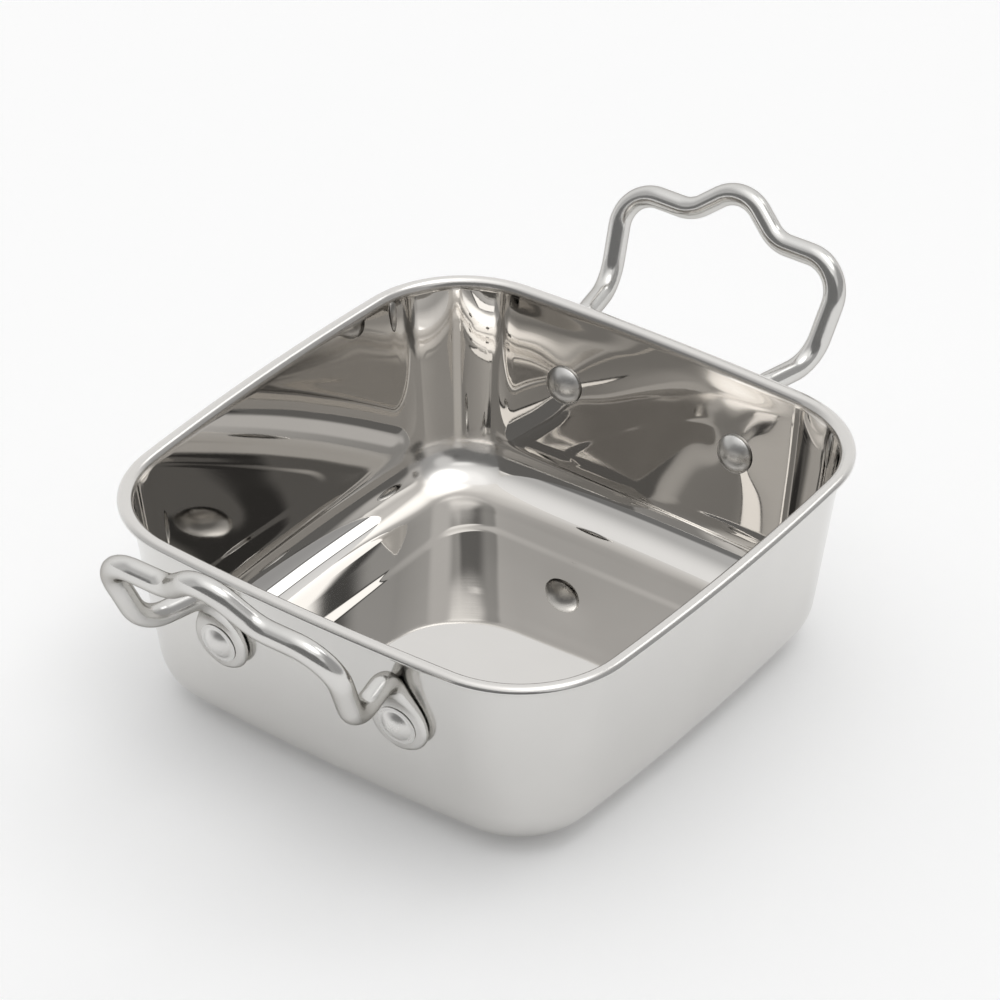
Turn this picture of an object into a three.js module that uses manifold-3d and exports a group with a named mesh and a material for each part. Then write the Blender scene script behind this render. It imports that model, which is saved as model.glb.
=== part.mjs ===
// A small square roasting pan: a dish drawn from one steel sheet, with two riveted wire handles.
// Millimetres, +Z up. The origin is on the table under the middle of the base.
// The handles stand on the two X sides.

import * as THREE from "three";
import Module from "manifold-3d";
import { mergeVertices } from "three/addons/utils/BufferGeometryUtils.js";

const wasm = await Module();
wasm.setup();

const DEGREE = Math.PI / 180;

// Dish
const RIM_LENGTH = 152.6; // along X, between the crests of the rim at mid-side
const RIM_WIDTH = 148.6; // along Y, likewise
const DISH_HEIGHT = 59;
const SHEET = 1;
const WALL_DRAFT = 7.2 * DEGREE; // lean of each wall from upright
const SIDE_BOW_RADIUS = 780; // the sides swell slightly in plan
const BASE_CORNER_RADIUS = 9; // corners of the flat base
const BASE_EDGE_RADIUS = 14.5; // outside, where wall and base meet
const LIP_RADIUS = 2.2; // upper skin of the turned rim
const LIP_DROP = 60 * DEGREE; // how far the lip turns down past level

// Handles
const WIRE = 6; // diameter
const LUG_WIDTH = 16.4; // the flattened end round each rivet
const LUG_THICKNESS = 2.6;
const LUG_TAPER = 11; // length over which the lug becomes round wire
const LUG_BEND_RADIUS = 7; // where the wire leaves the wall
const FOOT_BEND_RADIUS = 11; // where it turns up into the loop
const LOOP_BEND_RADIUS = 10; // all other bends, at the wire's centre line
const BACK_REACH = 20.2; // from the lip out to the loop's feet, as each handle was bent
const FRONT_REACH = 18.2;
const LOOP_LEAN = 66.6 * DEGREE; // of the loop's plane, from level
const FOOT_SPREAD = 65.4; // between the corners of the bent wire's centre line, along Y
const SHOULDER_SPREAD = 71;
const DIP_SPREAD = 27.2;
const SHOULDER_HEIGHT = 27.2; // along the loop's lean, from its feet
const LOBE_HEIGHT = 38.7;

// Rivets
const RIVET_SPACING = 55.6; // along Y
const RIVET_DEPTH = 23.2; // below the crest of the rim
const SHANK = 4; // diameter
const HEAD_WIDTH = 11; // the dome inside the dish
const HEAD_HEIGHT = 2.8;
const BUTTON_WIDTH = 8.6; // the formed end over the lug
const BUTTON_HEIGHT = 1.9;

// Clearances
const SEAT_GAP = 0.3; // between faces that rest on each other
const HOLE_GAP = 0.3; // round a shank in its hole
const LIP_GAP = 1.5; // between the lip and the wire that passes under it

// Facets
const CORNER_STEPS = 10;
const SIDE_STEPS = 4;
const BEND_STEPS = 5;
const WIRE_SIDES = 16;
const RIVET_SIDES = 20;

const UP = new THREE.Vector3(0, 0, 1);

// The dish's section is drawn as (offset, height): offset is measured outward from the crest of the rim.
const lipCentre = new THREE.Vector2(0, DISH_HEIGHT - LIP_RADIUS);
const lipReach = LIP_RADIUS * Math.sin(LIP_DROP);
const lipBottom = lipCentre.y + (LIP_RADIUS - SHEET) * Math.cos(LIP_DROP) - SHEET / 2;
const wallTop = new THREE.Vector2(
  -(LIP_RADIUS - SHEET) * Math.cos(WALL_DRAFT),
  lipCentre.y + (LIP_RADIUS - SHEET) * Math.sin(WALL_DRAFT),
);
const edgeCentre = new THREE.Vector2(
  wallOffset(BASE_EDGE_RADIUS) - BASE_EDGE_RADIUS / Math.cos(WALL_DRAFT),
  BASE_EDGE_RADIUS,
);
const rimCornerRadius = BASE_CORNER_RADIUS - edgeCentre.x;

// Offset of the wall's outer skin at a height.
function wallOffset(height) {
  return wallTop.x - (wallTop.y - height) * Math.tan(WALL_DRAFT);
}

function arcPoints(centre, radius, from, to, steps) {
  const points = [];
  for (let i = 0; i <= steps; i += 1) {
    const angle = from + ((to - from) * i) / steps;
    points.push(new THREE.Vector2(Math.cos(angle), Math.sin(angle)).multiplyScalar(radius).add(centre));
  }
  return points;
}

// Up the outside from the flat base, round the lip and down the inside to the floor.
function dishSection() {
  const inward = Math.PI - WALL_DRAFT;
  const outward = -WALL_DRAFT;
  const down = -Math.PI / 2;
  const lipEnd = Math.PI / 2 - LIP_DROP;
  const hem = arcPoints(lipCentre, LIP_RADIUS - SHEET / 2, lipEnd, lipEnd, 1)[0];
  return [
    ...arcPoints(edgeCentre, BASE_EDGE_RADIUS, down, outward, 7),
    ...arcPoints(lipCentre, LIP_RADIUS - SHEET, inward, lipEnd, 5),
    ...arcPoints(hem, SHEET / 2, lipEnd - Math.PI, lipEnd, 3).slice(1, -1),
    ...arcPoints(lipCentre, LIP_RADIUS, lipEnd, inward, 7),
    ...arcPoints(edgeCentre, BASE_EDGE_RADIUS - SHEET, outward, down, 7),
  ];
}

// Plan of the rim's crest: four bowed sides and four corners, all arcs that meet smoothly.
// Each entry has the arc's centre and radius and the direction of the outward normal.
function rimPlan() {
  const bowX = SIDE_BOW_RADIUS - RIM_LENGTH / 2; // behind the middle: centre of the +X side's arc
  const bowY = SIDE_BOW_RADIUS - RIM_WIDTH / 2;
  const corner = cornerCentre(bowX, bowY);
  const sideEnd = Math.atan2(corner.y, corner.x + bowX);
  const cornerEnd = Math.atan2(corner.y + bowY, corner.x);
  const quarter = [
    ...planArc(new THREE.Vector2(-bowX, 0), SIDE_BOW_RADIUS, 0, sideEnd, SIDE_STEPS),
    ...planArc(corner, rimCornerRadius, sideEnd, cornerEnd, CORNER_STEPS),
    ...planArc(new THREE.Vector2(0, -bowY), SIDE_BOW_RADIUS, cornerEnd, Math.PI / 2, SIDE_STEPS),
  ];
  const half = [...quarter, ...quarter.map(mirrored).reverse().slice(1, -1)];
  return [...half, ...half.map(turned)];
}

// Centre of the arc that touches the +X and +Y side arcs from inside.
function cornerCentre(bowX, bowY) {
  const reach = SIDE_BOW_RADIUS - rimCornerRadius;
  const ratio = bowY / bowX;
  const shift = (bowX * bowX + bowY * bowY) / (2 * bowX);
  const square = ratio * ratio + 1;
  const root = Math.sqrt(square * reach * reach - shift * shift);
  const y = (root - ratio * shift) / square;
  return new THREE.Vector2(ratio * y + shift - bowX, y);
}

function planArc(centre, radius, from, to, steps) {
  const places = [];
  const first = from === 0 ? 0 : 1; // the end of the arc before is already there
  for (let i = first; i <= steps; i += 1) {
    const angle = from + ((to - from) * i) / steps;
    const normal = new THREE.Vector2(Math.cos(angle), Math.sin(angle));
    places.push({ centre, radius, normal });
  }
  return places;
}

function mirrored({ centre, radius, normal }) {
  return {
    centre: new THREE.Vector2(-centre.x, centre.y),
    radius,
    normal: new THREE.Vector2(-normal.x, normal.y),
  };
}

function turned({ centre, radius, normal }) {
  return { centre: centre.clone().negate(), radius, normal: normal.clone().negate() };
}

// A closed skin over rings of equal length, with a fan over the first and the last ring.
function skin(rings) {
  const count = rings[0].length;
  const points = rings.flat();
  const index = [];
  for (let i = 0; i < rings.length - 1; i += 1) {
    for (let j = 0; j < count; j += 1) {
      const next = (j + 1) % count;
      const a = i * count + j;
      const b = i * count + next;
      index.push(a, b, b + count, a, b + count, a + count);
    }
  }
  const start = points.push(middle(rings[0])) - 1;
  const end = points.push(middle(rings.at(-1))) - 1;
  const lastRing = (rings.length - 1) * count;
  for (let j = 0; j < count; j += 1) {
    const next = (j + 1) % count;
    index.push(start, next, j, end, lastRing + j, lastRing + next);
  }
  const geometry = new THREE.BufferGeometry().setFromPoints(points);
  geometry.setIndex(index);
  geometry.computeVertexNormals();
  return geometry;
}

function middle(ring) {
  const sum = new THREE.Vector3();
  ring.forEach((point) => sum.add(point));
  return sum.divideScalar(ring.length);
}

function dishGeometry() {
  const plan = rimPlan();
  const rings = dishSection().map(({ x: offset, y: height }) =>
    plan.map(({ centre, radius, normal }) => {
      const point = normal.clone().multiplyScalar(radius + offset).add(centre);
      return new THREE.Vector3(point.x, point.y, height);
    }),
  );
  return skin(rings);
}

// A place on the +X wall's outer skin, with the wall's outward and upward directions there.
function wallPlace(y, height) {
  const radius = SIDE_BOW_RADIUS + wallOffset(height);
  const turn = Math.asin(y / radius);
  const level = new THREE.Vector3(Math.cos(turn), Math.sin(turn), 0);
  const point = level.clone().multiplyScalar(radius);
  point.x += RIM_LENGTH / 2 - SIDE_BOW_RADIUS;
  point.z = height;
  const lean = { cos: Math.cos(WALL_DRAFT), sin: Math.sin(WALL_DRAFT) };
  const normal = level.clone().multiplyScalar(lean.cos).addScaledVector(UP, -lean.sin);
  const rise = level.clone().multiplyScalar(lean.sin).addScaledVector(UP, lean.cos);
  return { point, normal, rise };
}

function rivetPlace(sign) {
  return wallPlace((sign * RIVET_SPACING) / 2, DISH_HEIGHT - RIVET_DEPTH);
}

// Corners of the wire's centre line on the +Y half, from the lug's tip to the top of the middle lobe.
function handleCorners(reach) {
  const { point, normal, rise } = rivetPlace(1);
  const runHeight = lipBottom - LIP_GAP - WIRE / 2;
  const seat = point.clone().addScaledVector(normal, SEAT_GAP + WIRE / 2);
  const along = (distance) => seat.clone().addScaledVector(rise, distance);
  const foot = RIM_LENGTH / 2 + lipReach + reach;
  const inLoop = (spread, height) =>
    new THREE.Vector3(
      foot + height * Math.cos(LOOP_LEAN),
      spread / 2,
      runHeight + height * Math.sin(LOOP_LEAN),
    );
  return [
    along(-LUG_WIDTH / 2),
    along((runHeight - seat.z) / rise.z),
    inLoop(FOOT_SPREAD, 0),
    inLoop(SHOULDER_SPREAD, SHOULDER_HEIGHT),
    inLoop(DIP_SPREAD, SHOULDER_HEIGHT),
    inLoop(0, LOBE_HEIGHT),
    inLoop(-DIP_SPREAD, SHOULDER_HEIGHT),
  ];
}

// Places along straight runs joined by round bends, each with its direction, up to the last bend's middle.
function bentPath(corners) {
  const path = [];
  const radii = [0, LUG_BEND_RADIUS, FOOT_BEND_RADIUS];
  for (let i = 1; i < corners.length - 1; i += 1) {
    const corner = corners[i];
    const before = corner.clone().sub(corners[i - 1]).normalize();
    const after = corners[i + 1].clone().sub(corner).normalize();
    const turn = before.angleTo(after);
    const radius = radii[i] ?? LOOP_BEND_RADIUS;
    const toCentre = after.clone().addScaledVector(before, -Math.cos(turn)).normalize();
    const start = corner.clone().addScaledVector(before, -radius * Math.tan(turn / 2));
    const isTop = i === corners.length - 2;
    for (let k = 0; k <= BEND_STEPS; k += 1) {
      const angle = (turn * k) / BEND_STEPS / (isTop ? 2 : 1);
      const point = start
        .clone()
        .addScaledVector(before, radius * Math.sin(angle))
        .addScaledVector(toCentre, radius * (1 - Math.cos(angle)));
      const direction = before
        .clone()
        .multiplyScalar(Math.cos(angle))
        .addScaledVector(toCentre, Math.sin(angle));
      path.push({ point, direction });
    }
  }
  return path;
}

// The straight lug, in steps that follow its round tip and then its taper up to the first bend.
function lugPath(tip, bendStart) {
  const direction = bendStart.clone().sub(tip);
  const length = direction.length();
  direction.normalize();
  const reach = LUG_WIDTH / 2;
  const tipAngle = Math.asin(LUG_THICKNESS / LUG_WIDTH);
  const tipRound = arcPoints(new THREE.Vector2(), reach, Math.PI - tipAngle, Math.PI / 2, 5);
  const distances = tipRound.map((place) => place.x + reach);
  const tapers = 4;
  for (let i = 1; i < tapers; i += 1) {
    distances.push(reach + ((length - reach) * i) / tapers);
  }
  return distances.map((distance) => {
    const point = tip.clone().addScaledVector(direction, distance);
    return { point, direction };
  });
}

// Half the wire's width and half its thickness, at a distance from the rivet's axis.
function wireSize(distance) {
  const reach = LUG_WIDTH / 2;
  const flat = LUG_THICKNESS / 2;
  if (distance <= 0) {
    return { width: Math.max(flat, Math.sqrt(reach * reach - distance * distance)), thickness: flat };
  }
  const padEnd = BUTTON_WIDTH / 2 + SEAT_GAP;
  const narrowing = THREE.MathUtils.smoothstep(distance, 0, padEnd + LUG_TAPER);
  const thickening = THREE.MathUtils.smoothstep(distance, padEnd, padEnd + LUG_TAPER);
  return {
    width: THREE.MathUtils.lerp(reach, WIRE / 2, narrowing),
    thickness: THREE.MathUtils.lerp(flat, WIRE / 2, thickening),
  };
}

// Section of the wire: two half rounds with straight sides, or a circle where width equals thickness.
function wireRing(place, direction, normal, { width, thickness }) {
  const side = normal.clone().cross(direction);
  const ring = [];
  for (let j = 0; j < WIRE_SIDES; j += 1) {
    const angle = ((j + 0.5) * 2 * Math.PI) / WIRE_SIDES;
    const across = thickness * Math.cos(angle) + Math.sign(Math.cos(angle)) * (width - thickness);
    ring.push(
      place.clone().addScaledVector(side, across).addScaledVector(normal, thickness * Math.sin(angle)),
    );
  }
  return ring;
}

// Rings from one lug's tip to the middle lobe. The flattened back stays on the wall.
function halfHandleRings(reach) {
  const corners = handleCorners(reach);
  const bends = bentPath(corners);
  const path = [...lugPath(corners[0], bends[0].point), ...bends];
  const normal = rivetPlace(1).normal.clone();
  let distance = -LUG_WIDTH / 2;
  return path.map(({ point, direction }, i) => {
    if (i > 0) {
      distance += point.distanceTo(path[i - 1].point);
      normal.applyQuaternion(new THREE.Quaternion().setFromUnitVectors(path[i - 1].direction, direction));
    }
    const size = wireSize(distance);
    const centre = point.clone().addScaledVector(normal, size.thickness - WIRE / 2);
    return wireRing(centre, direction, normal, size);
  });
}

function handleGeometry(reach) {
  const half = halfHandleRings(reach);
  half.at(-1).forEach((point) => {
    point.y = 0;
  });
  const flip = new THREE.Vector3(1, -1, 1);
  const otherHalf = half
    .slice(0, -1)
    .reverse()
    .map((ring) => ring.map((point) => point.clone().multiply(flip)));
  return cut(skin([...half, ...otherHalf]), [-1, 1].map(rivetHole));
}

// A low dome standing on a flat face, as lathe points from the axis out to its rim.
function domePoints(width, height, seat, side) {
  const radius = (width * width) / (8 * height) + height / 2;
  const half = Math.asin(width / 2 / radius);
  const points = [];
  for (let i = 0; i <= 5; i += 1) {
    const angle = (half * i) / 5;
    const rise = radius * (Math.cos(angle) - Math.cos(half));
    points.push(new THREE.Vector2(radius * Math.sin(angle), seat + side * rise));
  }
  return points;
}

// Along the rivet's axis, outward from the dish, with zero on the wall's outer skin.
function rivetGeometry() {
  const headSeat = -SHEET - SEAT_GAP;
  const buttonSeat = SEAT_GAP + LUG_THICKNESS + SEAT_GAP;
  const profile = [
    ...domePoints(HEAD_WIDTH, HEAD_HEIGHT, headSeat, -1),
    new THREE.Vector2(SHANK / 2, headSeat),
    new THREE.Vector2(SHANK / 2, buttonSeat),
    ...domePoints(BUTTON_WIDTH, BUTTON_HEIGHT, buttonSeat, 1).reverse(),
  ];
  profile[0].x = 0;
  profile.at(-1).x = 0;
  return new THREE.LatheGeometry(profile, RIVET_SIDES);
}

function onWall(sign) {
  const { point, normal } = rivetPlace(sign);
  const turn = new THREE.Quaternion().setFromUnitVectors(new THREE.Vector3(0, 1, 0), normal);
  return new THREE.Matrix4().compose(point, turn, new THREE.Vector3(1, 1, 1));
}

function rivetHole(sign) {
  const length = 4 * (SHEET + LUG_THICKNESS + WIRE);
  const hole = new THREE.CylinderGeometry(SHANK / 2 + HOLE_GAP, SHANK / 2 + HOLE_GAP, length, RIVET_SIDES);
  return hole.applyMatrix4(onWall(sign));
}

function solid(geometry) {
  const bare = geometry.clone();
  bare.deleteAttribute("normal");
  bare.deleteAttribute("uv");
  const merged = mergeVertices(bare, 1e-5);
  return new wasm.Manifold(
    new wasm.Mesh({
      numProp: 3,
      vertProperties: new Float32Array(merged.attributes.position.array),
      triVerts: new Uint32Array(merged.index.array),
    }),
  );
}

function cut(geometry, holes) {
  const result = holes.reduce((body, hole) => body.subtract(solid(hole)), solid(geometry)).getMesh();
  const geometryLeft = new THREE.BufferGeometry();
  geometryLeft.setAttribute("position", new THREE.Float32BufferAttribute(result.vertProperties, 3));
  geometryLeft.setIndex([...result.triVerts]);
  geometryLeft.computeVertexNormals();
  return geometryLeft;
}

function steel(color, roughness) {
  return new THREE.MeshStandardMaterial({ color, roughness, metalness: 1 });
}

function named(name, geometry, material) {
  const mesh = new THREE.Mesh(geometry, material);
  mesh.name = name;
  return mesh;
}

function dish() {
  const facing = [0, Math.PI];
  const holes = facing.flatMap((angle) =>
    [-1, 1].map((sign) => rivetHole(sign).rotateZ(angle)),
  );
  return named("pan_body", cut(dishGeometry(), holes), steel(0xc9c7c3, 0.16));
}

// A handle and its two rivets, built on the +X wall. Left and right are as seen from outside.
function handleSet(end, reach) {
  const set = new THREE.Group();
  set.add(named(`handle_${end}`, handleGeometry(reach), steel(0xc4c1bb, 0.22)));
  [["left", -1], ["right", 1]].forEach(([hand, sign]) => {
    const rivet = named(`rivet_${end}_${hand}`, rivetGeometry(), steel(0xc6c4c0, 0.25));
    rivet.applyMatrix4(onWall(sign));
    set.add(rivet);
  });
  return set;
}

const pan = new THREE.Group();
const front = handleSet("front", FRONT_REACH);
front.rotation.z = Math.PI;
pan.add(dish(), front, handleSet("back", BACK_REACH));

export default pan;
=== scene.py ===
import math

import bmesh
import bpy
from mathutils import Matrix, Vector


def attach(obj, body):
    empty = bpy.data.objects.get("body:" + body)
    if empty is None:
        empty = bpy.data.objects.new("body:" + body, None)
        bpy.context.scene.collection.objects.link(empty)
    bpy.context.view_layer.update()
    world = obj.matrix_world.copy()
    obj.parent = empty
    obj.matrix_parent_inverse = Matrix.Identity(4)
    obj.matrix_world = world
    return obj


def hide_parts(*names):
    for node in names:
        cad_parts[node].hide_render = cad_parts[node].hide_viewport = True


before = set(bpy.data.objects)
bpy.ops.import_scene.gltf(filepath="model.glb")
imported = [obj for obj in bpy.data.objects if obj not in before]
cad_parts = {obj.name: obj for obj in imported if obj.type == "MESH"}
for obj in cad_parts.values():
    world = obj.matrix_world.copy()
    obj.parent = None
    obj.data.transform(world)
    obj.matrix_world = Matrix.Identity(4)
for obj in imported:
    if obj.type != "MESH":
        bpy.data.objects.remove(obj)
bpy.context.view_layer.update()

# The dish is one blank of stainless sheet, drawn in a press to a square with round corners.
# Its walls lean out and bow slightly, its edge is rolled over and its floor is set down a little.
# It is buffed to a mirror inside and to a satin outside, and the wall is dented a little at each rivet.
MM = 0.001
rim_length, rim_width, dish_height = 152.6 * MM, 148.6 * MM, 59 * MM
sheet = 1 * MM
wall_draft = 7.2
side_bow = 780 * MM
base_corner, base_edge = 9 * MM, 14.5 * MM
lip_radius, lip_drop = 2.2 * MM, 60
panel_length, panel_width, panel_corner = 90 * MM, 84 * MM, 13 * MM
panel_step, panel_edge, panel_border = 0.13 * MM, 3 * MM, 0.4
rivet_spacing, rivet_depth = 55.6 * MM, 23.2 * MM
# Depth and reach of the tight and the wide dent at a rivet, where they end below the lip,
# and how far from its skin a vertex still counts as wall or as floor.
dents = ((-0.2 * MM, 5.5 * MM), (-0.2 * MM, 13 * MM))
dent_end, wall_band, floor_band = 6 * MM, 4 * MM, 1.5 * MM

slope = math.radians(wall_draft)
wall_up = Vector((math.sin(slope), 0, math.cos(slope)))
wall_out = Vector((math.cos(slope), 0, -math.sin(slope)))
lip_centre = Vector((rim_length / 2, 0, dish_height - lip_radius))
wall_top = lip_centre - wall_out * (lip_radius - sheet)
wall_at_edge = wall_top + wall_up * ((base_edge - wall_top.z) / wall_up.z)
edge_centre = wall_at_edge - Vector((base_edge / wall_out.x, 0, 0))


def bend_section(bm, end, centre, degrees, steps):
    """Carry the section's last vertex round a centre, from +X towards +Z."""
    made = bmesh.ops.spin(
        bm, geom=[end], cent=centre, axis=(0, -1, 0), angle=math.radians(degrees), steps=steps)
    return made["geom_last"][0]


def run_section(bm, end, target, steps):
    """Carry the section's last vertex straight to a point in even steps."""
    step = (target - end.co) / steps
    for _ in range(steps):
        end = bmesh.ops.extrude_vert_indiv(bm, verts=[end])["verts"][0]
        bmesh.ops.translate(bm, vec=step, verts=[end])
    return end


dish = bmesh.new()
over_lip = 90 - wall_draft + lip_drop
lip_end = Vector((math.sin(math.radians(lip_drop)), 0, math.cos(math.radians(lip_drop))))
end = bmesh.ops.create_vert(dish, co=(edge_centre.x, 0, 0))["vert"][0]
end = bend_section(dish, end, edge_centre, 90 - wall_draft, 18)
end = run_section(dish, end, wall_top, 26)
end = bend_section(dish, end, lip_centre, -over_lip, 10)
end = bend_section(dish, end, lip_centre + lip_end * (lip_radius - sheet / 2), 180, 8)
end = bend_section(dish, end, lip_centre, over_lip, 18)
end = run_section(dish, end, edge_centre + wall_out * (base_edge - sheet), 38)
end = bend_section(dish, end, edge_centre, wall_draft - 90, 26)

# Plan: a bowed half side, a corner and another bowed half side, all arcs that meet smoothly.
bow_x = Vector((rim_length / 2 - side_bow, 0, 0))
bow_y = Vector((0, rim_width / 2 - side_bow, 0))
rim_corner = base_corner + rim_length / 2 - edge_centre.x
between = bow_y - bow_x
corner_reach = math.sqrt((side_bow - rim_corner) ** 2 - between.length_squared / 4)
corner = (bow_x + bow_y) / 2 + Vector((-between.y, between.x, 0)).normalized() * corner_reach
side_end = math.atan2(corner.y - bow_x.y, corner.x - bow_x.x)
corner_end = math.atan2(corner.y - bow_y.y, corner.x - bow_y.x)
section = dish.verts[:] + dish.edges[:]
for centre, angle, steps in (
        (bow_x, side_end, 42), (corner, corner_end - side_end, 26), (bow_y, math.pi / 2 - corner_end, 42)):
    section = bmesh.ops.spin(
        dish, geom=section, cent=centre, axis=(0, 0, 1), angle=angle, steps=steps)["geom_last"]
for axis in ("X", "Y"):
    whole = dish.verts[:] + dish.edges[:] + dish.faces[:]
    bmesh.ops.mirror(dish, geom=whole, axis=axis, merge_dist=1e-6)
bmesh.ops.remove_doubles(dish, verts=dish.verts[:], dist=1e-6)


def smoothstep(value, low, high):
    t = min(1, max(0, (value - low) / (high - low)))
    return t * t * (3 - 2 * t)


def past_panel(place):
    """How far, across its outline, a point lies past the straight middle of the panel's sides."""
    middle = Vector((panel_length / 2 - panel_corner, panel_width / 2 - panel_corner))
    return Vector((max(abs(place.x) - middle.x, 0), max(abs(place.y) - middle.y, 0)))


# Floor and base: rings drawn in from the fillets to the panel and over its soft step.
step_gaps = (3.2, 2.4, 1.9, 1.5, 1.1, 0.7, 0.35)
ring_gaps = (8, 6, 4.4, *step_gaps, 0, *(-gap for gap in reversed(step_gaps)))
for level in (0, sheet):
    ring = [e for e in dish.edges if e.is_boundary and abs(e.verts[0].co.z - level) < 1e-6]
    for gap in ring_gaps:
        made = bmesh.ops.extrude_edge_only(dish, edges=ring)["geom"]
        verts = [g for g in made if isinstance(g, bmesh.types.BMVert)]
        ring = [g for g in made if isinstance(g, bmesh.types.BMEdge) and all(v in verts for v in g.verts)]
        for vert in verts:
            past = past_panel(vert.co)
            across = past.normalized() * (panel_corner + gap * MM) - past
            vert.co.x += math.copysign(1, vert.co.x) * across.x
            vert.co.y += math.copysign(1, vert.co.y) * across.y
    bmesh.ops.holes_fill(dish, edges=ring, sides=0)

# The border of the floor stands up from the panel, and rises gently to the fillets.
for vert in dish.verts:
    gap = past_panel(vert.co).length - panel_corner
    lift = panel_step * smoothstep(gap, -panel_edge / 2, panel_edge / 2)
    lift += math.tan(math.radians(panel_border)) * max(0, gap)
    vert.co.z += lift * (1 - smoothstep(vert.co.z, floor_band, base_edge))


def wall_frame(y, height):
    """Axes on the +X wall's outer skin: X along the wall, Y up it and Z out of it."""
    radius = (wall_top + wall_up * ((height - wall_top.z) / wall_up.z)).x - bow_x.x
    turn = Matrix.Rotation(math.asin(y / radius), 3, "Z")
    out, up = turn @ wall_out, turn @ wall_up
    place = turn @ Vector((radius, 0, 0)) + bow_x
    place.z = height
    axes = Matrix((up.cross(out), up, out)).transposed().to_4x4()
    return Matrix.Translation(place) @ axes


half_turn = Matrix.Rotation(math.pi, 4, "Z")
rivet_places = {}
for hand, sign in (("left", -1), ("right", 1)):
    place = wall_frame(sign * rivet_spacing / 2, dish_height - rivet_depth)
    rivet_places["back_" + hand] = place
    rivet_places["front_" + hand] = half_turn @ place
for place in rivet_places.values():
    to_rivet = place.inverted()
    for vert in dish.verts:
        local = to_rivet @ vert.co
        if abs(local.z) < wall_band and vert.co.z > base_edge:
            away = local.xy.length_squared
            sink = sum(depth * math.exp(-away / 2 / reach ** 2) for depth, reach in dents)
            vert.co += place.col[2].xyz * sink * smoothstep(lip_centre.z - vert.co.z, 0, dent_end)
    place.translation += place.col[2].xyz * sum(depth for depth, reach in dents)
bmesh.ops.recalc_face_normals(dish, faces=dish.faces[:])
if dish.calc_volume(signed=True) < 0:
    bmesh.ops.reverse_faces(dish, faces=dish.faces[:])
for face in dish.faces:
    outward = face.calc_center_median().xy.normalized()
    face.material_index = 0 if face.normal.z > face.normal.xy.dot(outward) else 1


def mesh_piece(name, bm, *materials):
    """Make an object of a bmesh, with its place in its mesh."""
    mesh = bpy.data.meshes.new(name)
    bm.to_mesh(mesh)
    mesh.shade_smooth()
    for material in materials:
        mesh.materials.append(material)
    piece = bpy.data.objects.new(name, mesh)
    bpy.context.scene.collection.objects.link(piece)
    return piece


def add_node(tree, kind, inputs=(), **settings):
    """Add a shader node; inputs are values or other nodes' outputs, in order or by name."""
    made = tree.nodes.new("ShaderNode" + kind)
    for key, value in settings.items():
        setattr(made, key, value)
    for key, value in inputs.items() if isinstance(inputs, dict) else enumerate(inputs):
        if isinstance(value, bpy.types.NodeSocket):
            tree.links.new(value, made.inputs[key])
        elif value is not None:
            made.inputs[key].default_value = value
    return made


# Marks of work on steel: fine lines left by the buffing wheel, wipe marks and soft waves from the press.
worked_steel = bpy.data.node_groups.new("worked_steel", "ShaderNodeTree")
for name, kind in (
        ("Position", "NodeSocketVector"), ("Line Density", "NodeSocketVector"),
        ("Wipe Scale", "NodeSocketFloat"), ("Wave Scale", "NodeSocketFloat")):
    worked_steel.interface.new_socket(name=name, in_out="INPUT", socket_type=kind)
for name in ("Lines", "Wipes", "Waves"):
    worked_steel.interface.new_socket(name=name, in_out="OUTPUT", socket_type="NodeSocketFloat")
given = worked_steel.nodes.new("NodeGroupInput").outputs
stretched = add_node(
    worked_steel, "VectorMath", [given["Position"], given["Line Density"]], operation="MULTIPLY")
lines = add_node(
    worked_steel, "TexNoise",
    {"Vector": stretched.outputs["Vector"], "Scale": 1, "Detail": 3, "Roughness": 0.6})
wipes = add_node(
    worked_steel, "TexNoise",
    {"Vector": given["Position"], "Scale": given["Wipe Scale"],
     "Detail": 4, "Roughness": 0.55, "Distortion": 0.6})
waves = add_node(
    worked_steel, "TexNoise",
    {"Vector": given["Position"], "Scale": given["Wave Scale"], "Detail": 1, "Roughness": 0.4})
result = worked_steel.nodes.new("NodeGroupOutput").inputs
for name, made in (("Lines", lines), ("Wipes", wipes), ("Waves", waves)):
    worked_steel.links.new(made.outputs["Fac"], result[name])


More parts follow.
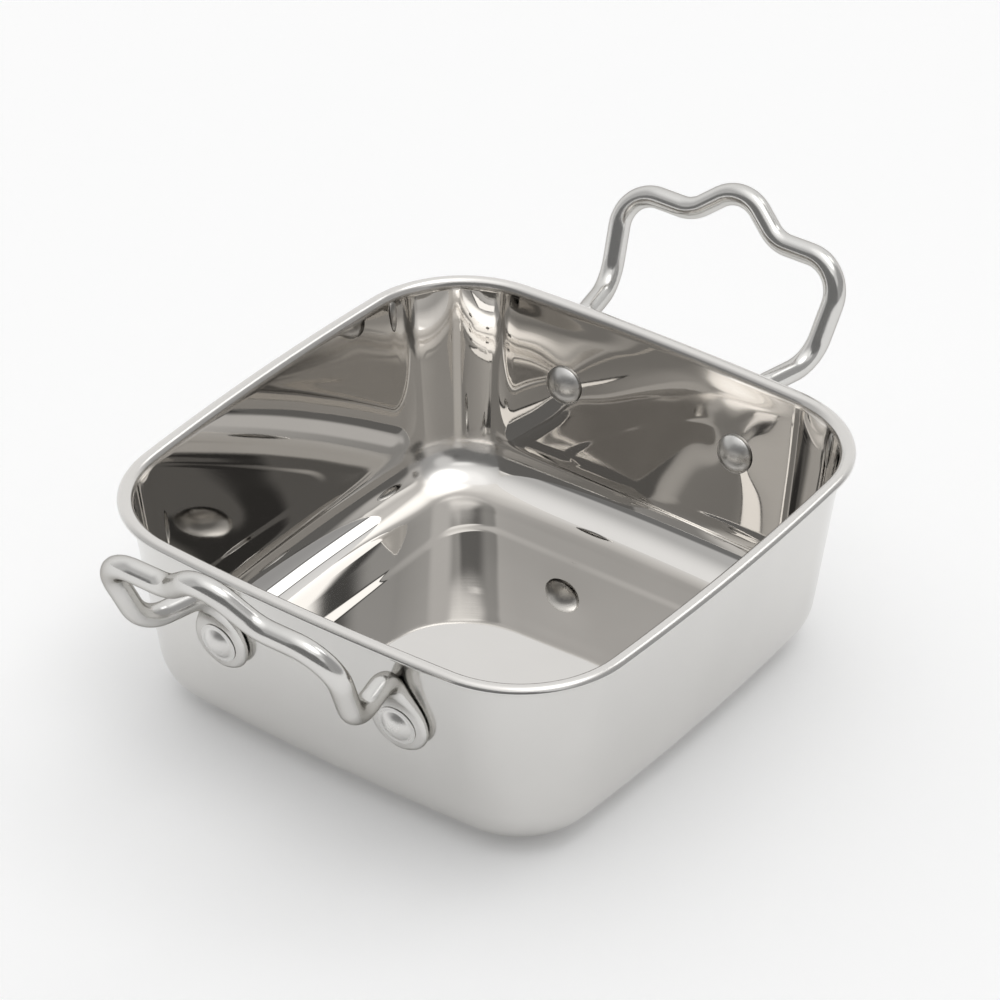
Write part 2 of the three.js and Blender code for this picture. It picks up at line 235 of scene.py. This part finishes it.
def steel(name, clean, dull, roughness, line_density, wipe_scale, wave_scale, line_depth, wave_depth):
    """A worked steel: colours and roughness go from clean to dull with the wipe marks."""
    material = bpy.data.materials.new(name)
    material.use_nodes = True
    tree = material.node_tree
    position = add_node(tree, "TexCoord").outputs["Object"]
    marks = tree.nodes.new("ShaderNodeGroup")
    marks.node_tree = worked_steel
    tree.links.new(position, marks.inputs["Position"])
    marks.inputs["Line Density"].default_value = line_density
    marks.inputs["Wipe Scale"].default_value = wipe_scale
    marks.inputs["Wave Scale"].default_value = wave_scale
    wiped = add_node(tree, "MapRange", {"Value": marks.outputs["Wipes"], "From Min": 0.35, "From Max": 0.7})
    color = add_node(
        tree, "Mix", {6: (*clean, 1), 7: (*dull, 1), "Factor": wiped.outputs["Result"]},
        data_type="RGBA")
    rough = add_node(
        tree, "MapRange",
        {"Value": marks.outputs["Wipes"], "From Min": 0.3, "From Max": 0.75,
         "To Min": roughness[0], "To Max": roughness[1]})
    grain = add_node(
        tree, "MapRange",
        {"Value": marks.outputs["Lines"], "From Min": 0.2, "From Max": 0.8, "To Min": 0.85, "To Max": 1.15})
    rubbed = add_node(
        tree, "Math", [rough.outputs["Result"], grain.outputs["Result"]], operation="MULTIPLY")
    line_height = add_node(tree, "Math", [marks.outputs["Lines"], line_depth], operation="MULTIPLY")
    height = add_node(
        tree, "Math", [marks.outputs["Waves"], wave_depth, line_height.outputs["Value"]],
        operation="MULTIPLY_ADD")
    bump = add_node(tree, "Bump", {"Strength": 1, "Distance": 1, "Height": height.outputs["Value"]})
    shader = tree.nodes["Principled BSDF"]
    shader.inputs["Metallic"].default_value = 1
    tree.links.new(color.outputs[2], shader.inputs["Base Color"])
    tree.links.new(rubbed.outputs["Value"], shader.inputs["Roughness"])
    tree.links.new(bump.outputs["Normal"], shader.inputs["Normal"])
    return material


bright_steel = steel(
    "bright_steel", clean=(0.722, 0.704, 0.679), dull=(0.702, 0.684, 0.659), roughness=(0.012, 0.035),
    line_density=(60, 60, 2400), wipe_scale=28, wave_scale=32, line_depth=0.0000004, wave_depth=0.00006)
satin_steel = steel(
    "satin_steel", clean=(0.72, 0.71, 0.69), dull=(0.69, 0.68, 0.66), roughness=(0.13, 0.2),
    line_density=(70, 70, 3600), wipe_scale=22, wave_scale=26, line_depth=0.0000035, wave_depth=0.00005)

# The bottom corners are drawn the furthest and the lip is rolled last, so the wheel leaves both duller.
corner_start, corner_full, corner_top, corner_foot = 38 * MM, 52 * MM, 16 * MM, 11 * MM
lip_foot, lip_full = 56.2 * MM, 57.2 * MM
corner_dullness, lip_dullness = 0.14, 0.2
tree = bright_steel.node_tree
where = add_node(tree, "SeparateXYZ", [tree.nodes["Texture Coordinate"].outputs["Object"]]).outputs
from_middle = [add_node(tree, "Math", [where[axis]], operation="ABSOLUTE").outputs[0] for axis in "XY"]
nearer = add_node(tree, "Math", from_middle, operation="MINIMUM").outputs[0]


def fade(value, start, end):
    """In the node tree at hand, a soft change from 0 to 1 between two values."""
    made = add_node(
        tree, "MapRange", {"Value": value, "From Min": start, "From Max": end},
        interpolation_type="SMOOTHSTEP")
    return made.outputs["Result"]


in_corner = fade(nearer, corner_start, corner_full)
low_down = fade(where["Z"], corner_top, corner_foot)
drawn = add_node(tree, "Math", [in_corner, low_down], operation="MULTIPLY").outputs[0]
on_lip = fade(where["Z"], lip_foot, lip_full)
shine = tree.nodes["Principled BSDF"].inputs["Roughness"]
rubbed = shine.links[0].from_socket
for mask, dullness in ((drawn, corner_dullness), (on_lip, lip_dullness)):
    rubbed = add_node(tree, "Math", [mask, dullness, rubbed], operation="MULTIPLY_ADD").outputs[0]
tree.links.new(rubbed, shine)
pan = mesh_piece("dish", dish, bright_steel, satin_steel)
dish.free()
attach(pan, "root")
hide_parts("pan_body")

# Each handle is one length of round steel wire, bent cold to a loop with three lobes.
# Its ends are pressed flat into lugs, which lie on the outer wall and are held by a rivet each.
# The back one is bent a little further out than the front one.
wire = 6 * MM
lug_width, lug_thickness, lug_taper = 16.4 * MM, 2.6 * MM, 11 * MM
lug_bend, foot_bend, loop_bend = 7 * MM, 11 * MM, 10 * MM
loop_reaches = {"back": 20.2 * MM, "front": 18.2 * MM}
loop_lean = math.radians(66.6)
foot_spread, shoulder_spread, dip_spread = 65.4 * MM, 71 * MM, 27.2 * MM
shoulder_height, lobe_height = 27.2 * MM, 38.7 * MM
button_width = 8.6 * MM
seat_gap, lip_gap = 0.3 * MM, 1.5 * MM
wire_sides, lug_rings, run_rings, bend_rings = 32, 18, 8, 16

along, up, out = (rivet_places["back_right"].col[i].xyz for i in range(3))
seat = rivet_places["back_right"].translation + out * (seat_gap + wire / 2)
lip_bottom = lip_centre.z + (lip_radius - sheet) * lip_end.z - sheet / 2
run_height = lip_bottom - lip_gap - wire / 2


def loop_corners(reach):
    """Corners of the wire's centre line and their bend radii, from the lug to past the middle lobe."""
    foot = rim_length / 2 + lip_radius * lip_end.x + reach

    def in_loop(spread, height):
        return Vector((
            foot + height * math.cos(loop_lean), spread / 2, run_height + height * math.sin(loop_lean)))

    return [
        (seat - up * lug_width / 2, 0),
        (seat + up * ((run_height - seat.z) / up.z), lug_bend),
        (in_loop(foot_spread, 0), foot_bend),
        (in_loop(shoulder_spread, shoulder_height), loop_bend),
        (in_loop(dip_spread, shoulder_height), loop_bend),
        (in_loop(0, lobe_height), loop_bend),
        (in_loop(-dip_spread, shoulder_height), 0),
    ]


class WireEnd:
    """The free end of a wire that is drawn out: its last ring, and every ring before it."""

    def __init__(self, place):
        self.bm = bmesh.new()
        bmesh.ops.create_circle(self.bm, segments=wire_sides, radius=wire / 2, matrix=place)
        self.place, self.edges, self.distance = place, self.bm.edges[:], -lug_width / 2
        self.rings = [(self.bm.verts[:], place.copy(), self.distance)]

    def carry(self, move, length):
        made = bmesh.ops.extrude_edge_only(self.bm, edges=self.edges)["geom"]
        verts = [g for g in made if isinstance(g, bmesh.types.BMVert)]
        edges = [g for g in made if isinstance(g, bmesh.types.BMEdge)]
        self.edges = [edge for edge in edges if all(v in verts for v in edge.verts)]
        bmesh.ops.transform(self.bm, matrix=move, verts=verts)
        self.place = move @ self.place
        self.distance += length
        self.rings.append((verts, self.place.copy(), self.distance))

    def run(self, target, steps):
        step = (target - self.place.translation) / steps
        for _ in range(steps):
            self.carry(Matrix.Translation(step), step.length)

    def bend(self, centre, axis, angle, radius, steps):
        pivot = Matrix.Translation(centre)
        move = pivot @ Matrix.Rotation(angle / steps, 4, axis) @ pivot.inverted()
        for _ in range(steps):
            self.carry(move, radius * angle / steps)


def flatten_lug(bm, verts, to_ring, from_rivet):
    """Press one ring of the wire to the lug's width and thickness there, with its back on the wall."""
    reach, half = lug_width / 2, lug_thickness / 2
    if from_rivet <= 0:
        width = math.sqrt(max(0, reach ** 2 - from_rivet ** 2))
        core = math.sqrt(max(0, (reach - half) ** 2 - from_rivet ** 2))
        past = max(0, -from_rivet - (reach - half))
        thick = math.sqrt(max(0, half ** 2 - past ** 2))
    else:
        pad_end = button_width / 2 + seat_gap
        narrow = smoothstep(from_rivet, 0, pad_end + lug_taper)
        swell = smoothstep(from_rivet, pad_end, pad_end + lug_taper)
        width = reach + (wire / 2 - reach) * narrow
        thick = half + (wire / 2 - half) * swell
        core = width - thick
    squeeze = Vector((max((width - core) / (wire / 2), 1e-4), max(thick / (wire / 2), 1e-4), 1))
    right = [v for v in verts if (to_ring @ v.co).x > 0]
    left = [v for v in verts if (to_ring @ v.co).x <= 0]
    bmesh.ops.scale(bm, vec=squeeze, space=to_ring, verts=verts)
    bmesh.ops.translate(bm, vec=(core, 0, 0), space=to_ring, verts=right)
    bmesh.ops.translate(bm, vec=(-core, 0, 0), space=to_ring, verts=left)
    on_wall = half if from_rivet <= 0 else thick
    bmesh.ops.translate(bm, vec=(0, wire / 2 - on_wall, 0), space=to_ring, verts=verts)


def bend_handle(reach):
    corners = loop_corners(reach)
    end = WireEnd(Matrix.Translation(corners[0][0]) @ Matrix((along, -out, up)).transposed().to_4x4())
    last = len(corners) - 2
    for i in range(1, last + 1):
        place, radius = corners[i]
        before = (place - corners[i - 1][0]).normalized()
        after = (corners[i + 1][0] - place).normalized()
        angle, axis = before.angle(after), before.cross(after).normalized()
        bend_start = place - before * radius * math.tan(angle / 2)
        if i == 1:
            for k in range(1, lug_rings + 1):
                end.run(seat - up * lug_width / 2 * math.cos(math.pi / 2 * k / lug_rings), 1)
        end.run(bend_start, run_rings)
        turn = angle / 2 if i == last else angle
        end.bend(bend_start + axis.cross(before) * radius, axis, turn, radius, bend_rings)
    for verts, place, from_rivet in end.rings:
        flatten_lug(end.bm, verts, place.inverted(), from_rivet)
    bmesh.ops.mirror(
        end.bm, geom=end.bm.verts[:] + end.bm.edges[:] + end.bm.faces[:], axis="Y", merge_dist=1e-5)
    bmesh.ops.remove_doubles(end.bm, verts=end.bm.verts[:], dist=5e-6)
    bmesh.ops.recalc_face_normals(end.bm, faces=end.bm.faces[:])
    return end.bm


wire_steel = steel(
    "wire_steel", clean=(0.70, 0.69, 0.67), dull=(0.66, 0.65, 0.63), roughness=(0.14, 0.22),
    line_density=(900, 900, 900), wipe_scale=60, wave_scale=90, line_depth=0.000002, wave_depth=0.00003)
wire_steel.node_tree.nodes["Principled BSDF"].inputs["Specular Tint"].default_value = (0.5, 0.49, 0.47, 1)
for end, turn in (("back", Matrix.Identity(4)), ("front", half_turn)):
    handle = bend_handle(loop_reaches[end])
    bmesh.ops.transform(handle, matrix=turn, verts=handle.verts[:])
    piece = mesh_piece("wire_handle_" + end, handle, wire_steel)
    handle.free()
    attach(piece, "root")
    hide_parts("handle_" + end)

# Four solid steel rivets hold the lugs. A wide dome stands inside the dish.
# Outside, the shank's end is hammered over the lug into a smaller button with a thin collar.
shank = 4 * MM
head_width, head_height = 11 * MM, 2.8 * MM
button_height = 1.9 * MM
collar_width, collar_thickness = 10.8 * MM, 0.22 * MM


def dome(bm, end, width, height, seat, side, steps):
    """Carry a rivet's section from the axis round a dome to its rim, or back."""
    radius = width ** 2 / 8 / height + height / 2
    turn = math.degrees(math.asin(width / 2 / radius))
    return bend_section(bm, end, Vector((0, 0, seat + side * (height - radius))), turn, steps)


rivet = bmesh.new()
head_seat = -sheet - seat_gap
button_seat = 2 * seat_gap + lug_thickness
end = bmesh.ops.create_vert(rivet, co=(0, 0, head_seat - head_height))["vert"][0]
end = dome(rivet, end, head_width, head_height, head_seat, -1, 14)
end = run_section(rivet, end, Vector((shank / 2, 0, head_seat)), 2)
end = run_section(rivet, end, Vector((shank / 2, 0, button_seat - collar_thickness)), 2)
end = run_section(rivet, end, Vector((collar_width / 2, 0, button_seat - collar_thickness)), 3)
end = bend_section(
    rivet, end, Vector((collar_width / 2, 0, button_seat - collar_thickness / 2)), 180, 6)
end = run_section(rivet, end, Vector((button_width / 2, 0, button_seat)), 2)
end = dome(rivet, end, button_width, button_height, button_seat, 1, 12)
bmesh.ops.spin(
    rivet, geom=rivet.verts[:] + rivet.edges[:], cent=(0, 0, 0), axis=(0, 0, 1),
    angle=2 * math.pi, steps=48, use_merge=True)
bmesh.ops.remove_doubles(rivet, verts=rivet.verts[:], dist=1e-6)
bmesh.ops.recalc_face_normals(rivet, faces=rivet.faces[:])
rivet_steel = steel(
    "rivet_steel", clean=(0.71, 0.70, 0.68), dull=(0.67, 0.66, 0.64), roughness=(0.26, 0.36),
    line_density=(1500, 1500, 1500), wipe_scale=150, wave_scale=200,
    line_depth=0.000003, wave_depth=0.00003)
for side, place in rivet_places.items():
    set_rivet = rivet.copy()
    bmesh.ops.transform(set_rivet, matrix=place, verts=set_rivet.verts[:])
    piece = mesh_piece("rivet_pin_" + side, set_rivet, rivet_steel)
    set_rivet.free()
    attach(piece, "root")
    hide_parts("rivet_" + side)
rivet.free()

# The pan stands on a plain white table top, which runs on behind it as the backdrop.
# It shows as white paper does to the eye, while the pan's soft shadow still falls on it.
table_size, paper_white, paper_glow = 40, 0.95, 0.105


def grey(level):
    return (level, level, level, 1)


table = bmesh.new()
bmesh.ops.create_grid(table, x_segments=1, y_segments=1, size=table_size)
table_white = bpy.data.materials.new("table_white")
table_white.use_nodes = True
tree = table_white.node_tree
paper = tree.nodes["Principled BSDF"]
paper.inputs["Base Color"].default_value = grey(paper_white)
paper.inputs["Roughness"].default_value = 0.9
paper.inputs["Emission Strength"].default_value = paper_glow
ray = add_node(tree, "LightPath").outputs
seen = add_node(tree, "Math", [ray["Is Camera Ray"], ray["Is Glossy Ray"]], operation="MAXIMUM").outputs[0]
seen = add_node(tree, "Math", [seen, ray["Is Transmission Ray"]], operation="MAXIMUM").outputs[0]
tree.links.new(seen, paper.inputs["Emission Color"])
table_top = mesh_piece("table_top", table, table_white)
table.free()

# The studio: a wide soft scrim with a lamp above it, a white sweep behind the pan and a softbox at right.
# The room is dark on the camera's side, where the scrim ends in a clear edge,
# and the black camera stands there beside a pale card.
sweep_side, dark_side, pale_side = math.radians(40), math.radians(-165), math.radians(140)
camera_side, camera_rise, camera_size = math.radians(-132), math.radians(36), math.radians(2.6)
scrim_edge_side, card_side, card_rise = math.radians(-140), math.radians(-110), math.radians(43)
box_side, box_rise, box_frame = math.radians(-19.5), math.radians(45), math.radians(1.4)
box_halves, box_softness = (math.radians(8.2), math.radians(10)), 0.008
lamp_core, lamp_edge = math.radians(14), math.radians(21)
card_core, card_edge = math.radians(8), math.radians(15)
room_level, pale_level, sweep_level, dark_level = 0.39, 0.58, 0.95, 0.2
lamp_side, lamp_rise = math.radians(-70), math.radians(74)
scrim_level, top_level, lamp_level, hot_level, box_level, card_level = 1.1, 1.3, 2.4, 1.45, 1.9, 0.78
frame_level, camera_level = 0.1, 0.06
sweep_fade, dark_fade, near_fade = (0.1, 0.72), (0.56, 0.6), (0.5, 0.6)
soft_scrim, clear_scrim, top_fade = (0.65, 0.97), (0.762, 0.776), (0.9, 0.97)


def toward(turn, rise):
    return Vector((math.cos(turn) * math.cos(rise), math.sin(turn) * math.cos(rise), math.sin(rise)))


studio = bpy.data.worlds.new("studio")
bpy.context.scene.world = studio
studio.use_nodes = True
tree = studio.node_tree


def along_way(way):
    """How far the ray's direction lies along a way."""
    return add_node(tree, "VectorMath", [direction, way], operation="DOT_PRODUCT").outputs["Value"]


def blend(amount, first, second):
    return add_node(tree, "Mix", {"Factor": amount, 6: first, 7: second}, data_type="RGBA").outputs[2]


direction = add_node(tree, "TexCoord").outputs["Generated"]
height = add_node(tree, "SeparateXYZ", [direction]).outputs["Z"]
room = blend(fade(along_way(toward(pale_side, 0)), -1, 1), grey(room_level), grey(pale_level))
room = blend(fade(along_way(toward(sweep_side, 0)), *sweep_fade), room, grey(sweep_level))
room = blend(fade(along_way(toward(dark_side, 0)), *dark_fade), room, grey(dark_level))
near_camera = fade(along_way(toward(scrim_edge_side, 0)), *near_fade)
soft_edge, clear_edge = fade(height, *soft_scrim), fade(height, *clear_scrim)
scrim = add_node(tree, "Mix", {"Factor": near_camera, 2: soft_edge, 3: clear_edge}).outputs[0]
light = blend(fade(height, *top_fade), grey(scrim_level), grey(top_level))
lamp = fade(along_way(toward(lamp_side, lamp_rise)), math.cos(lamp_edge), math.cos(lamp_core))
light = blend(lamp, light, grey(lamp_level))
lit = blend(scrim, room, blend(near_camera, light, grey(hot_level)))
box_way = toward(box_side, box_rise)
box_across = Vector((-math.sin(box_side), math.cos(box_side), 0))
offsets = []
for way in (box_across, box_way.cross(box_across)):
    offsets.append(add_node(tree, "Math", [along_way(way)], operation="ABSOLUTE").outputs[0])
for margin, level in ((box_frame, frame_level), (0, box_level)):
    inside = fade(along_way(box_way), *near_fade)
    for offset, half in zip(offsets, box_halves):
        edge = half + margin
        within = fade(offset, math.sin(edge + box_softness), math.sin(edge - box_softness))
        inside = add_node(tree, "Math", [inside, within], operation="MULTIPLY").outputs[0]
    lit = blend(inside, lit, grey(level))
card = fade(along_way(toward(card_side, card_rise)), math.cos(card_edge), math.cos(card_core))
lit = blend(card, lit, grey(card_level))
to_camera = along_way(toward(camera_side, camera_rise))
lens = fade(to_camera, math.cos(camera_size * 1.3), math.cos(camera_size * 0.8))
tree.links.new(blend(lens, lit, grey(camera_level)), tree.nodes["Background"].inputs["Color"])

# The camera stands in front of a corner of the pan and looks down on it through a long lens.
# Its place is given along its own axes, from the middle of the pan's base.
view_turn, view_rise = math.radians(-53.28), math.radians(34.52)
eye_right, eye_above, eye_back = 2.67 * MM, 40.13 * MM, 1089.98 * MM
sensor, lens_in_pixels, image_in_pixels = 36, 4187.06, 1000
right = Vector((math.cos(view_turn), math.sin(view_turn), 0))
level = Vector((math.sin(view_turn), -math.cos(view_turn), 0))
back = level * math.cos(view_rise) + Vector((0, 0, math.sin(view_rise)))
above = back.cross(right)
camera = bpy.data.objects.new("camera", bpy.data.cameras.new("camera"))
bpy.context.scene.collection.objects.link(camera)
camera.data.sensor_width = sensor
camera.data.lens = sensor * lens_in_pixels / image_in_pixels
eye = right * eye_right + above * eye_above + back * eye_back
camera.matrix_world = Matrix.Translation(eye) @ Matrix((right, above, back)).transposed().to_4x4()
bpy.context.scene.camera = camera
bpy.context.scene.view_settings.view_transform = "Standard"
